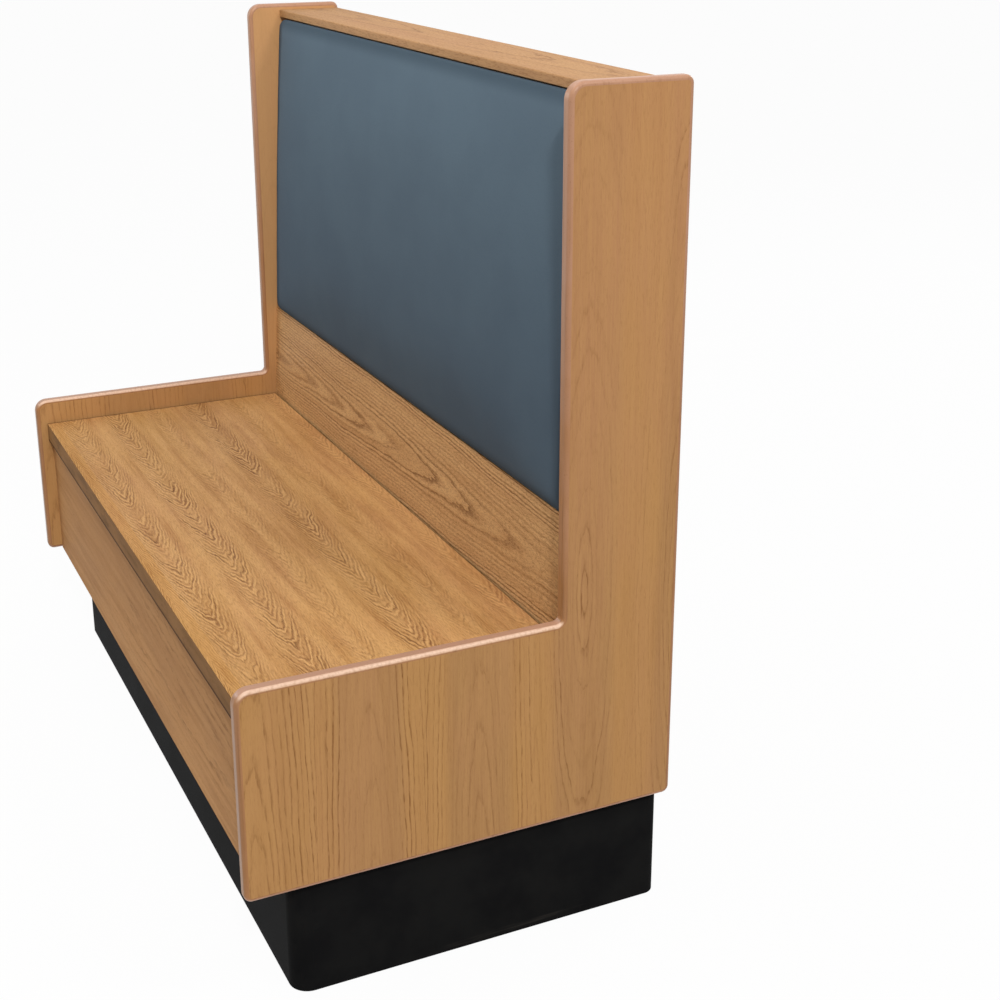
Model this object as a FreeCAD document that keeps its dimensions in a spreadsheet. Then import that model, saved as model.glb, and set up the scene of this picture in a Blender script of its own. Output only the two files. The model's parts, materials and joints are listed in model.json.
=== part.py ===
import FreeCAD, Part
import math
import os
import re
import Sketcher

# Single restaurant booth: two L-shaped oak end panels carry a raked back with an upholstered pad,
# a lift-out oak seat and a boxed seat front, all standing on a recessed black toe-kick base.
# X runs along the seat, Y from the seat's front to the back, Z up. The origin is on the floor,
# in the middle of the booth's plan.

doc = FreeCAD.newDocument("restaurant_booth")
sheet = doc.addObject("Spreadsheet::Sheet", "Sizes")

# Driving sizes, in millimetres. A name that ends in share is a ratio.
driving = {
    "overall_length": 1219,  # over both end panels
    "overall_depth": 591,
    "overall_height": 1118,
    "panel_thickness": 19,
    "upper_depth": 165,  # depth of an end panel above the seat
    "seat_height": 406,
    "arm_rise": 42,  # end panels over the seat, beside it
    "base_height": 166,
    "top_corner_radius": 22,
    "arm_corner_radius": 20,
    "outer_corner_radius": 10,
    "inner_corner_radius": 8,
    "moulding_lip": 6,
    "moulding_roundover": 5.5,
    "tongue_thickness": 2.4,
    "tongue_depth": 8,
    "groove_clearance": 0.2,
    "seat_board_thickness": 19,
    "seat_gap": 1.5,  # round the lift-out seat
    "nosing_setback": 17,  # behind the end panels' front edges
    "nosing_height": 32,
    "nosing_thickness": 19,
    "nosing_shadow_gap": 2,
    "fascia_setback": 24,
    "fascia_thickness": 19,
    "back_setback": 17,  # lower back panel behind the upper front edges, at seat height
    "rake_share": 0.054,  # lean of the back for each unit of height
    "lower_panel_rise": 165,  # over the seat
    "lower_panel_thickness": 19,
    "cap_thickness": 12,
    "cap_drop": 10,  # cap below the end panels' tops
    "cap_setback": 55,
    "cap_edge_radius": 2,
    "cap_edge_gap": 0.5,
    "pad_board_thickness": 12,
    "pad_edge_thickness": 27,  # board and foam at the pad's edges
    "pad_crown": 11,  # more foam in the middle
    "pad_clearance": 1.2,
    "pad_corner_radius": 14,
    "pad_wrap": 3,  # cover and foam past the board's edges
    "pad_side_draw": 1.5,  # sides drawn in between the corners
    "rear_panel_thickness": 6,
    "rear_panel_recess": 3,
    "top_plate_thickness": 19,
    "back_rib_thickness": 18,
    "nogging_height": 60,
    "nogging_depth": 38,
    "bottom_deck_thickness": 15,
    "front_rail_thickness": 19,
    "front_rail_height": 64,
    "rear_rail_depth": 50,
    "rear_rail_height": 64,
    "cleat_thickness": 19,
    "cleat_height": 38,
    "corner_cleat_size": 25,
    "seat_rib_thickness": 18,
    "batten_thickness": 19,
    "batten_width": 45,
    "batten_end_gap": 22,
    "batten_place_share": 0.66,  # of the seat's half length
    "base_front_inset": 64,
    "base_end_inset": 20,
    "base_rear_inset": 3,
    "base_front_radius": 26,
    "base_rear_radius": 18,
    "base_wrap_thickness": 3,
    "base_board_thickness": 18,
    "corner_block_leg": 60,
    "corner_block_height": 110,
    "bracket_leg": 50,
    "bracket_width": 40,
    "bracket_thickness": 3,
    "bracket_hole_diameter": 8.5,
    "bracket_hole_inset": 32,
    "bracket_end_distance": 156.5,  # from the base frame's ends
    "bracket_screw_height": 33,
    "bracket_screw_offset": 10,  # either side of the bracket's middle
    "screw_diameter": 4.5,
    "screw_head_diameter": 9,
    "screw_head_depth": 3,
    "screw_clearance": 0.1,
    "screw_bite": 9,  # thread in the last board it enters
    "rear_screw_length": 30,
    "deck_screw_length": 45,
    "pad_screw_rise": 18,  # over the lower panel's top
    "edge_distance": 60,  # first and last screw of a row
}

rib_count = 4
rib_screw_count = 5
cap_screw_count = 6
deck_screw_count = 4  # in each row

# Places that follow from them.
derived = {
    "half_length": "overall_length / 2",
    "inner_half": "half_length - panel_thickness",
    "front_y": "-overall_depth / 2",
    "rear_y": "overall_depth / 2",
    "upper_y": "rear_y - upper_depth",
    "arm_height": "seat_height + arm_rise",
    "lower_panel_top": "seat_height + lower_panel_rise",
    "seat_under": "seat_height - seat_board_thickness",
    "seat_half": "inner_half - seat_gap",
    "seat_rear_y": "lower_foot_y - seat_gap",
    "nosing_front_y": "front_y + nosing_setback",
    "nosing_back_y": "nosing_front_y + nosing_thickness",
    "nosing_under": "seat_height - nosing_height",
    "fascia_front_y": "front_y + fascia_setback",
    "fascia_back_y": "fascia_front_y + fascia_thickness",
    "fascia_top": "nosing_under - nosing_shadow_gap",
    "deck_top": "base_height + bottom_deck_thickness",
    "front_rail_back_y": "fascia_back_y + front_rail_thickness",
    "front_rail_under": "seat_under - front_rail_height",
    "lower_foot_y": "upper_y + back_setback - rake_share * seat_board_thickness",
    "stud_seat_y": "upper_y + back_setback + lower_panel_thickness",
    "rear_rail_under": "seat_under - rear_rail_height",
    "rear_rail_back_y": "stud_seat_y + rake_share * (rear_rail_under - seat_height)",
    "rear_rail_front_y": "rear_rail_back_y - rear_rail_depth",
    "cap_top": "overall_height - cap_drop",
    "cap_under": "cap_top - cap_thickness",
    "plate_under": "cap_under - top_plate_thickness",
    "plate_front_y": "stud_seat_y + rake_share * (cap_under - seat_height)",
    "rear_face_y": "rear_y - rear_panel_recess",
    "rear_inner_y": "rear_face_y - rear_panel_thickness",
    "rib_pitch": f"(2 * inner_half - back_rib_thickness) / {rib_count - 1}",
    "pad_screw_z": "lower_panel_top + pad_screw_rise",
    "seat_rib_x": "inner_half / 3",
    "batten_x": "seat_half * batten_place_share",
    "base_half": "half_length - base_end_inset",
    "base_front_y": "front_y + base_front_inset",
    "base_back_y": "rear_y - base_rear_inset",
    "core_half": "base_half - base_wrap_thickness",
    "core_front_y": "base_front_y + base_wrap_thickness",
    "core_back_y": "base_back_y - base_wrap_thickness",
    "board_back_y": "core_front_y + base_board_thickness",
    "board_front_y": "core_back_y - base_board_thickness",
    "cross_x": "core_half / 3",
    "bracket_x": "core_half - bracket_end_distance",
}

for row, (name, value) in enumerate(driving.items(), start=1):
    sheet.set(f"A{row}", name)
    sheet.set(f"B{row}", str(value))
    sheet.setAlias(f"B{row}", name)
for row, (name, formula) in enumerate(derived.items(), start=1):
    sheet.set(f"C{row}", name)
    sheet.set(f"D{row}", "=" + formula)
    sheet.setAlias(f"D{row}", name)
doc.recompute()

aliases = set(driving) | set(derived)
nodes = {}


def cells(text):
    # Puts the sheet's name before every alias in a formula.
    return re.sub(r"[a-z_]+", lambda m: "Sizes." + m[0] if m[0] in aliases else m[0], text)


def value(name):
    return float(sheet.get(name))


def bind(thing, **formulas):
    for prop, formula in formulas.items():
        thing.setExpression(prop.replace("__", "."), cells(formula))


def place(thing, x="0", y="0", z="0"):
    bind(thing, Placement__Base__x=x, Placement__Base__y=y, Placement__Base__z=z)


def node(label, thing):
    thing.Label = label
    nodes[label] = thing
    return thing


def box(name, x, y, z):
    # x, y and z are pairs of formulas: the lower and the upper side.
    blank = doc.addObject("Part::Box", name)
    bind(blank, Length=f"({x[1]}) - ({x[0]})", Width=f"({y[1]}) - ({y[0]})", Height=f"({z[1]}) - ({z[0]})")
    place(blank, x[0], y[0], z[0])
    return blank


def prism(name, plane, points, height, x="0", z="0"):
    # A body padded from a polygon whose corners are formulas.
    body = doc.addObject("PartDesign::Body", name)
    sketch = body.newObject("Sketcher::SketchObject", name + "_outline")
    origin_plane = [f for f in body.Origin.OriginFeatures if f.Role == plane][0]
    sketch.AttachmentSupport = [(origin_plane, "")]
    sketch.MapMode = "FlatFace"
    count = len(points)
    start = [FreeCAD.Vector(math.cos(turn), math.sin(turn), 0) for turn in
             (2 * math.pi * i / count for i in range(count))]
    for i in range(count):
        sketch.addGeometry(Part.LineSegment(start[i], start[(i + 1) % count]))
    for i in range(count):
        sketch.addConstraint(Sketcher.Constraint("Coincident", i, 2, (i + 1) % count, 1))
    for i, (across, up) in enumerate(points):
        for kind, formula in (("DistanceX", across), ("DistanceY", up)):
            size = start[i].x if kind == "DistanceX" else start[i].y
            spot = sketch.addConstraint(Sketcher.Constraint(kind, -1, 1, i, 1, size))
            sketch.setExpression(f"Constraints[{spot}]", cells(formula))
    pad = body.newObject("PartDesign::Pad", name + "_pad")
    pad.Profile = sketch
    bind(pad, Length=height)
    place(body, x=x, z=z)
    doc.recompute()
    return body


def fillet(body, name, radius, chosen):
    # Rounds the edges that the test picks on the body's last feature.
    base = body.Tip
    edges = [f"Edge{i}" for i, edge in enumerate(base.Shape.Edges, start=1) if chosen(edge)]
    rounding = body.newObject("PartDesign::Fillet", name)
    rounding.Base = (base, edges)
    bind(rounding, Radius=radius)
    doc.recompute()
    return rounding


def cut(label, base, *tools):
    result = doc.addObject("Part::Cut", label + "_cut")
    result.Base = base
    result.Tool = tools[0] if len(tools) == 1 else fuse(label + "_tools", tools)
    return result


def fuse(name, pieces):
    result = doc.addObject("Part::MultiFuse", name)
    result.Shapes = list(pieces)
    return result


def common(name, first, second):
    result = doc.addObject("Part::Common", name)
    result.Base = first
    result.Tool = second
    return result


turns = {
    "+X": FreeCAD.Rotation(FreeCAD.Vector(0, 1, 0), 90),
    "-X": FreeCAD.Rotation(FreeCAD.Vector(0, 1, 0), -90),
    "+Y": FreeCAD.Rotation(FreeCAD.Vector(1, 0, 0), -90),
    "-Y": FreeCAD.Rotation(FreeCAD.Vector(1, 0, 0), 90),
    "+Z": FreeCAD.Rotation(),
    "-Z": FreeCAD.Rotation(FreeCAD.Vector(1, 0, 0), 180),
}


def rod(name, kind, way, spot, **sizes):
    thing = doc.addObject(kind, name)
    thing.Placement = FreeCAD.Placement(FreeCAD.Vector(), turns[way])
    bind(thing, **sizes)
    place(thing, *spot)
    return thing


def screw_row(name, length, spots, gap=""):
    # Countersunk screws with their head faces at the spots: (way, x, y, z). A gap makes the holes for them.
    solids = []
    for i, (way, *spot) in enumerate(spots):
        wide = f"screw_head_diameter / 2{gap}"
        slim = f"screw_diameter / 2{gap}"
        head = rod(f"{name}_head_{i}", "Part::Cone", way, spot,
                   Radius1=wide, Radius2=slim, Height="screw_head_depth")
        shank = rod(f"{name}_shank_{i}", "Part::Cylinder", way, spot, Radius=slim, Height=f"{length}{gap}")
        solids += [head, shank]
    return fuse(name, solids)


def screws(label, length, spots):
    # Returns the holes; the screws themselves become a node.
    node(label, screw_row(label + "_group", length, spots))
    return screw_row(label + "_holes", length, spots, " + screw_clearance")


def back_line(height, offset="0"):
    # Y of the ribs' raked front line at a height, moved by an offset.
    return f"stud_seat_y + rake_share * ({height} - seat_height) + ({offset})"


def end_outline(inset):
    # The L of an end panel, drawn in by an inset.
    front, rear = f"front_y + {inset}", f"rear_y - ({inset})"
    low, arm, top = f"base_height + {inset}", f"arm_height - ({inset})", f"overall_height - ({inset})"
    upper = f"upper_y + {inset}"
    return [(front, low), (rear, low), (rear, top), (upper, top), (upper, arm), (front, arm)]


def along_x(y, z):
    # Picks the edge along X that stands at a corner.
    def chosen(edge):
        first, last = (v.Point for v in edge.Vertexes) if len(edge.Vertexes) == 2 else (None, None)
        return (first is not None and abs(first.y - last.y) < fine and abs(first.z - last.z) < fine
                and math.hypot(first.y - y, first.z - z) < fine)
    return chosen


fine = 0.001 * value("panel_thickness")


def end_prism(name, inset, height, x, rounded=True):
    # The L of an end panel with rounded corners, drawn in by an inset: a sum of sizes, or 0.
    body = prism(name, "YZ_Plane", end_outline(inset), height, x=x)
    moved = sum(value(term) for term in inset.split(" + ") if term in aliases)
    front, rear, upper = value("front_y") + moved, value("rear_y") - moved, value("upper_y") + moved
    low, arm = value("base_height") + moved, value("arm_height") - moved
    top = value("overall_height") - moved
    fillet(body, name + "_inner_corner", f"inner_corner_radius + {inset}", along_x(upper, arm))
    if rounded:
        fillet(body, name + "_top_corner", f"top_corner_radius - ({inset})", along_x(upper, top))
        fillet(body, name + "_arm_corner", f"arm_corner_radius - ({inset})", along_x(front, arm))
        outer = [along_x(front, low), along_x(rear, low), along_x(rear, top)]
        fillet(body, name + "_outer_corners", f"outer_corner_radius - ({inset})",
               lambda edge: any(test(edge) for test in outer))
    return body


def end_panel(side, x, middle_x, holes):
    # Plywood core with a groove all round, and the moulded edge strip whose tongue sits in it.
    core = end_prism(f"core_{side}", "moulding_lip", "panel_thickness", x)
    groove = cut(f"groove_{side}",
                 end_prism(f"groove_outer_{side}", "moulding_lip", "tongue_thickness + 2 * groove_clearance",
                           f"{middle_x} - tongue_thickness / 2 - groove_clearance"),
                 end_prism(f"groove_inner_{side}", "moulding_lip + tongue_depth + groove_clearance",
                           "panel_thickness", x, rounded=False))
    node(f"end_panel_{side}", cut(f"end_panel_{side}", core, groove, holes))
    rim = end_prism(f"rim_{side}", "0", "panel_thickness", x)
    thickness = value("panel_thickness")
    fillet(rim, f"rim_{side}_roundover", "moulding_roundover",
           lambda edge: edge.BoundBox.XLength < fine
           and min(abs(edge.BoundBox.XMin), abs(edge.BoundBox.XMin - thickness)) < fine)
    opening = end_prism(f"rim_opening_{side}", "moulding_lip", "panel_thickness", x)
    tongue = cut(f"tongue_{side}",
                 end_prism(f"tongue_outer_{side}", "moulding_lip", "tongue_thickness",
                           f"{middle_x} - tongue_thickness / 2"),
                 end_prism(f"tongue_inner_{side}", "moulding_lip + tongue_depth", "panel_thickness", x,
                           rounded=False))
    ring = cut(f"rim_ring_{side}", rim, opening)
    node(f"edge_moulding_{side}", fuse(f"edge_moulding_{side}_whole", [ring, tongue]))


def seat():
    # The lift-out seat: board, thicker front nosing and two battens that keep it flat.
    across = ("-seat_half", "seat_half")
    under = "seat_under - batten_thickness"
    screw_shares = (0.1, 0.5, 0.9)
    batten_spots = []
    battens = []
    for side, sign in (("left", "-"), ("right", "")):
        middle = f"{sign}batten_x"
        y = ("front_rail_back_y + batten_end_gap", "rear_rail_front_y - batten_end_gap")
        blank = box(f"batten_{side}_blank", (f"{middle} - batten_width / 2", f"{middle} + batten_width / 2"),
                    y, (under, "seat_under"))
        battens.append((side, blank))
        for share in screw_shares:
            batten_spots.append(("+Z", middle, f"({y[0]}) + (({y[1]}) - ({y[0]})) * {share}", under))
    holes = screws("seat_screws", "(batten_thickness + screw_bite)", batten_spots)
    board = box("seat_board_blank", across, ("nosing_back_y", "seat_rear_y"), ("seat_under", "seat_height"))
    node("seat_board", cut("seat_board", board, holes))
    for side, blank in battens:
        node(f"seat_batten_{side}", cut(f"seat_batten_{side}", blank, holes))
    node("seat_nosing", box("seat_nosing_board", across, ("nosing_front_y", "nosing_back_y"),
                            ("nosing_under", "seat_height")))


def seat_box(deck_holes):
    # The box that carries the seat, between the end panels.
    across = ("-inner_half", "inner_half")
    node("seat_front_panel", box("fascia_board", across, ("fascia_front_y", "fascia_back_y"),
                                 ("base_height", "fascia_top")))
    deck = box("deck_board", across, ("fascia_back_y", "rear_inner_y"), ("base_height", "deck_top"))
    node("bottom_deck", cut("bottom_deck", deck, deck_holes))
    node("seat_front_rail", box("front_rail_board", across, ("fascia_back_y", "front_rail_back_y"),
                                ("front_rail_under", "seat_under")))
    node("seat_rear_rail", box("rear_rail_board", across, ("rear_rail_front_y", "rear_rail_back_y"),
                               ("rear_rail_under", "seat_under")))
    for side, sign in (("left", "-"), ("right", "")):
        x = (f"{sign}seat_rib_x - seat_rib_thickness / 2", f"{sign}seat_rib_x + seat_rib_thickness / 2")
        node(f"seat_rib_{side}", box(f"rib_{side}_board", x, ("front_rail_back_y", "rear_rail_front_y"),
                                     ("deck_top", "seat_under")))


def end_cleats(side):
    # Cleats screwed to an end panel from inside. Returns the holes for the screws.
    sign, way = ("-", "-X") if side == "left" else ("", "+X")

    def inner(depth):
        if side == "left":
            return "-inner_half", f"-inner_half + {depth}"
        return f"inner_half - {depth}", "inner_half"

    seat_cleat = box(f"seat_cleat_{side}_blank", inner("cleat_thickness"),
                     ("front_rail_back_y", "rear_rail_front_y"), ("seat_under - cleat_height", "seat_under"))
    corner = box(f"corner_cleat_{side}_blank", inner("corner_cleat_size"),
                 ("fascia_back_y", "fascia_back_y + corner_cleat_size"), ("deck_top", "front_rail_under"))
    middle_z = "seat_under - cleat_height / 2"
    first, last = "front_rail_back_y + edge_distance", "rear_rail_front_y - edge_distance"
    head_x = f"{sign}(inner_half - cleat_thickness)"
    screw_shares = (0, 0.5, 1)
    spots = [(way, head_x, f"({first}) + (({last}) - ({first})) * {share}", middle_z)
             for share in screw_shares]
    seat_holes = screws(f"cleat_screws_{side}", "(cleat_thickness + screw_bite)", spots)
    node(f"seat_cleat_{side}", cut(f"seat_cleat_{side}", seat_cleat, seat_holes))
    node(f"corner_cleat_{side}", corner)
    return seat_holes


def back_frame():
    # Four ribs cut to the rake, noggings between them, and the plate that carries the cap.
    top, bottom = "plate_under", "deck_top"
    rear_spots = []
    ribs = []
    for i in range(rib_count):
        x0 = f"-inner_half + {i} * rib_pitch"
        rib = prism(f"back_rib_{i + 1}_blank", "YZ_Plane",
                    [(back_line(bottom), bottom), ("rear_inner_y", bottom), ("rear_inner_y", top),
                     (back_line(top), top)], "back_rib_thickness", x=x0)
        ribs.append(rib)
        for j in range(rib_screw_count):
            share = j / (rib_screw_count - 1)
            z = f"{bottom} + edge_distance + ({top} - {bottom} - 2 * edge_distance) * {share}"
            rear_spots.append(("-Y", f"{x0} + back_rib_thickness / 2", "rear_face_y", z))
    rear_holes = screws("rear_panel_screws", "rear_screw_length", rear_spots)
    for i, rib in enumerate(ribs):
        node(f"back_rib_{i + 1}", cut(f"back_rib_{i + 1}", rib, rear_holes))
    panel = box("rear_panel_blank", ("-inner_half", "inner_half"), ("rear_inner_y", "rear_face_y"),
                ("base_height", "cap_under"))
    node("rear_panel", cut("rear_panel", panel, rear_holes))

    low = "lower_panel_top - nogging_height / 2"
    high = "lower_panel_top + nogging_height / 2"
    screw_shares = (0.25, 0.75)
    pad_spots = []
    noggings = []
    for i in range(rib_count - 1):
        x0 = f"-inner_half + {i} * rib_pitch + back_rib_thickness"
        noggings.append(prism(f"nogging_{i + 1}_blank", "YZ_Plane",
                              [(back_line(low), low), (back_line(low, "nogging_depth"), low),
                               (back_line(high, "nogging_depth"), high), (back_line(high), high)],
                              "rib_pitch - back_rib_thickness", x=x0))
        for share in screw_shares:
            pad_spots.append(("-Y", f"{x0} + (rib_pitch - back_rib_thickness) * {share}",
                              back_line("pad_screw_z", "nogging_depth"), "pad_screw_z"))
    pad_holes = screws("pad_screws", "(nogging_depth + screw_bite)", pad_spots)
    for i, blank in enumerate(noggings):
        node(f"back_nogging_{i + 1}", cut(f"back_nogging_{i + 1}", blank, pad_holes))

    cap_shares = [2 * i / (cap_screw_count - 1) - 1 for i in range(cap_screw_count)]
    cap_spots = [("+Z", f"(inner_half - edge_distance) * {share}", "(plate_front_y + rear_inner_y) / 2",
                  "plate_under") for share in cap_shares]
    cap_holes = screws("cap_screws", "(top_plate_thickness + screw_bite)", cap_spots)
    plate = box("top_plate_blank", ("-inner_half", "inner_half"), ("plate_front_y", "rear_inner_y"),
                ("plate_under", "cap_under"))
    node("back_top_plate", cut("back_top_plate", plate, cap_holes))
    cap_sheet = prism("cap_board", "YZ_Plane",
                      [("upper_y + cap_setback", "cap_under"), ("rear_face_y", "cap_under"),
                       ("rear_face_y", "cap_top"), ("upper_y + cap_setback", "cap_top")],
                      "2 * (inner_half - cap_edge_gap)", x="-(inner_half - cap_edge_gap)")
    y, z = value("upper_y") + value("cap_setback"), value("cap_top")
    fillet(cap_sheet, "cap_front_arris", "cap_edge_radius", along_x(y, z))
    node("top_cap", cut("top_cap", cap_sheet, cap_holes))
    return pad_holes


def lower_back_panel():
    # Raked oak panel between the seat and the pad. Its foot stands on the rear seat rail.
    foot, top = "seat_under", "lower_panel_top"
    rise = "lower_panel_thickness * rake_share"
    front = "- lower_panel_thickness"
    profile = [(back_line(foot, front), foot), (back_line(foot), foot), (back_line(top), top),
               (back_line(f"({top} + {rise})", front), f"{top} + {rise}")]
    node("back_lower_panel",
         prism("lower_panel_board", "YZ_Plane", profile, "2 * inner_half", x="-inner_half"))


def back_pad(pad_holes):
    # Plywood board on the ribs, and the crowned foam and cover in front of it.
    low = "lower_panel_top + pad_clearance + pad_wrap"
    high = "cap_under - pad_clearance - pad_wrap - pad_edge_thickness * rake_share"
    front = "- pad_board_thickness"
    rise = "pad_board_thickness * rake_share"
    half = "(inner_half - pad_clearance - pad_wrap)"
    profile = [(back_line(f"({low} + {rise})", front), f"{low} + {rise}"), (back_line(f"({low})"), low),
               (back_line(f"({high})"), high), (back_line(f"({high} + {rise})", front), f"{high} + {rise}")]
    board = prism("pad_board_blank", "YZ_Plane", profile, f"2 * {half}", x=f"-{half}")
    node("back_pad_board", cut("back_pad_board", board, pad_holes))

    lean = math.atan(value("rake_share"))
    up = FreeCAD.Vector(0, math.sin(lean), math.cos(lean))
    out = FreeCAD.Vector(0, -math.cos(lean), math.sin(lean))
    foot_z = value("lower_panel_top") + value("pad_clearance")
    foot_y = value("stud_seat_y") + value("rake_share") * (foot_z - value("seat_height"))
    foot = FreeCAD.Vector(0, foot_y, foot_z)
    head_z = value("cap_under") - value("pad_clearance") - value("pad_edge_thickness") * value("rake_share")
    tall = (head_z - foot_z) / math.cos(lean)
    wide = value("inner_half") - value("pad_clearance")
    edge, crown, corner = value("pad_edge_thickness"), value("pad_crown"), value("pad_corner_radius")
    draw = value("pad_side_draw")

    def section(x, ends, side, swell):
        # One closed outline across the pad: flat back, bowed sides and a crowned face.
        def spot(height, depth):
            return foot + FreeCAD.Vector(x, 0, 0) + up * height + out * depth
        low_h, high_h = ends + draw, tall - ends - draw
        middle = (low_h + high_h) / 2
        edges = [Part.makeLine(spot(low_h, 0), spot(high_h, 0)),
                 Part.Arc(spot(high_h, 0), spot(high_h + draw, side / 2), spot(high_h, side)).toShape(),
                 Part.Arc(spot(high_h, side), spot(middle, side + swell), spot(low_h, side)).toShape(),
                 Part.Arc(spot(low_h, side), spot(low_h - draw, side / 2), spot(low_h, 0)).toShape()]
        return Part.Wire(edges)

    # Stations are shares of the half width. Crown, edge and square corners fall away at the ends.
    station_shares = (0.5, 0.75, 0.88, 0.95, 0.985, 1)
    crown_power, edge_power, corner_power = 10, 60, 90
    edge_fall_share, crown_fall_share = 0.45, 0.93
    wires = []
    for share in [-s for s in station_shares[::-1]] + [0] + list(station_shares):
        outward = abs(share)
        wires.append(section(share * wide, corner * outward ** corner_power,
                             edge * (1 - edge_fall_share * outward ** edge_power),
                             crown * (1 - crown_fall_share * outward ** crown_power)))
    cover = doc.addObject("Part::Feature", "pad_cover")
    cover.Shape = Part.makeLoft(wires, True, True)
    below, above = "(lower_panel_top - pad_board_thickness)", "(cap_under + pad_board_thickness)"
    slab = [(back_line(below, front), below), (back_line(below, "pad_board_thickness"), below),
            (back_line(above, "pad_board_thickness"), above), (back_line(above, front), above)]
    node("back_cushion", cut("back_cushion", cover,
                             prism("board_slab", "YZ_Plane", slab, "2 * half_length", x="-half_length")))


def base_outline(name, half, front, back, front_radius, rear_radius):
    # Prism of the base's plan with rounded corners.
    body = prism(name, "XY_Plane", [(f"-{half}", front), (half, front), (half, back), (f"-{half}", back)],
                 "base_height")
    width, near, far = value(half), value(front), value(back)

    def upright(y):
        return lambda edge: (edge.BoundBox.ZLength > fine and edge.BoundBox.XLength < fine
                             and edge.BoundBox.YLength < fine and abs(edge.BoundBox.YMin - y) < fine
                             and abs(abs(edge.BoundBox.XMin) - width) < fine)
    fillet(body, name + "_front_corners", front_radius, upright(near))
    fillet(body, name + "_rear_corners", rear_radius, upright(far))
    return body


def base():
    # Toe-kick frame of boards with a black wrap, corner blocks and floor brackets. Returns the deck's holes.
    outer = base_outline("wrap_outer", "base_half", "base_front_y", "base_back_y",
                         "base_front_radius", "base_rear_radius")
    rounded = ("core_half", "core_front_y", "core_back_y", "base_front_radius - base_wrap_thickness",
               "base_rear_radius - base_wrap_thickness")
    node("toe_kick_wrap", cut("toe_kick_wrap", outer, base_outline("wrap_inner", *rounded)))
    core = base_outline("base_core", *rounded)
    upright = ("0", "base_height")

    deck_spots = []
    for y in ("core_front_y + base_board_thickness / 2", "core_back_y - base_board_thickness / 2"):
        for i in range(deck_screw_count):
            share = 2 * i / (deck_screw_count - 1) - 1
            deck_spots.append(("-Z", f"(core_half - 2 * edge_distance) * {share}", y, "deck_top"))
    deck_holes = screws("deck_screws", "deck_screw_length", deck_spots)

    bracket_spots = []
    for sign in ("-", ""):
        for way, y in (("-Y", "board_back_y + bracket_thickness"),
                       ("+Y", "board_front_y - bracket_thickness")):
            for step in ("- bracket_screw_offset", "+ bracket_screw_offset"):
                bracket_spots.append((way, f"{sign}bracket_x {step}", y, "bracket_screw_height"))
    bracket_holes = screws("bracket_screws", "(bracket_thickness + screw_bite)", bracket_spots)

    ends = ("-core_half", "core_half")
    front = box("base_front_blank", ends, ("core_front_y", "board_back_y"), upright)
    rear = box("base_rear_blank", ends, ("board_front_y", "core_back_y"), upright)
    holes = fuse("base_holes", [deck_holes, bracket_holes])
    node("base_front", cut("base_front", common("base_front_rounded", front, core), holes))
    node("base_rear", cut("base_rear", common("base_rear_rounded", rear, core), holes))
    between = ("board_back_y", "board_front_y")
    for side, x in (("left", ("-core_half", "-core_half + base_board_thickness")),
                    ("right", ("core_half - base_board_thickness", "core_half"))):
        end = box(f"base_end_{side}_blank", x, between, upright)
        node(f"base_end_{side}", common(f"base_end_{side}_rounded", end, core))
        sign = "-" if side == "left" else ""
        cross = (f"{sign}cross_x - base_board_thickness / 2", f"{sign}cross_x + base_board_thickness / 2")
        node(f"base_cross_{side}", box(f"base_cross_{side}_board", cross, between, upright))
    corner_blocks()
    floor_brackets(bracket_holes)
    return deck_holes


def corner_blocks():
    # Glue blocks in the four corners of the base frame.
    low = "(base_height - corner_block_height) / 2"
    corners = [("-", "board_back_y", "+"), ("", "board_back_y", "+"),
               ("-", "board_front_y", "-"), ("", "board_front_y", "-")]
    for number, (x_sign, y_edge, y_sign) in enumerate(corners, start=1):
        x = f"{x_sign}(core_half - base_board_thickness)"
        x_leg = f"{x_sign}(core_half - base_board_thickness - corner_block_leg)"
        node(f"base_corner_block_{number}",
             prism(f"corner_block_{number}", "XY_Plane",
                   [(x, y_edge), (x_leg, y_edge), (x, f"{y_edge} {y_sign} corner_block_leg")],
                   "corner_block_height", z=low))


def floor_brackets(bracket_holes):
    # Four steel angles screwed inside the base, each with one hole for a floor anchor.
    number = 0
    for x_sign in ("-", ""):
        for edge, sign in (("board_back_y", "+"), ("board_front_y", "-")):
            number += 1
            x = (f"{x_sign}bracket_x - bracket_width / 2", f"{x_sign}bracket_x + bracket_width / 2")

            def outward(depth):
                near, far = edge, f"{edge} {sign} {depth}"
                return (near, far) if sign == "+" else (far, near)
            leg = box(f"bracket_{number}_leg", x, outward("bracket_thickness"), ("0", "bracket_leg"))
            foot = box(f"bracket_{number}_foot", x, outward("bracket_leg"), ("0", "bracket_thickness"))
            hole = rod(f"bracket_{number}_hole", "Part::Cylinder", "+Z",
                       (f"{x_sign}bracket_x", f"{edge} {sign} bracket_hole_inset", "-bracket_thickness"),
                       Radius="bracket_hole_diameter / 2", Height="3 * bracket_thickness")
            whole = fuse(f"bracket_{number}_angle", [leg, foot])
            whole.Refine = True
            node(f"floor_bracket_{number}", cut(f"floor_bracket_{number}", whole, hole, bracket_holes))


def check():
    # Stops when a feature failed or a node is empty or invalid.
    doc.recompute()
    failed = [thing.Name for thing in doc.Objects if "Invalid" in thing.State or "Error" in thing.State]
    if failed:
        raise RuntimeError("failed features: " + ", ".join(failed))
    for label, thing in nodes.items():
        shape = thing.Shape
        if shape.isNull() or not shape.isValid() or not shape.Solids:
            raise RuntimeError("bad shape: " + label)


seat()
seat_box(base())
end_panel("right", "inner_half", "inner_half + panel_thickness / 2", end_cleats("right"))
end_panel("left", "-half_length", "-half_length + panel_thickness / 2", end_cleats("left"))
lower_back_panel()
back_pad(back_frame())
check()

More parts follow.
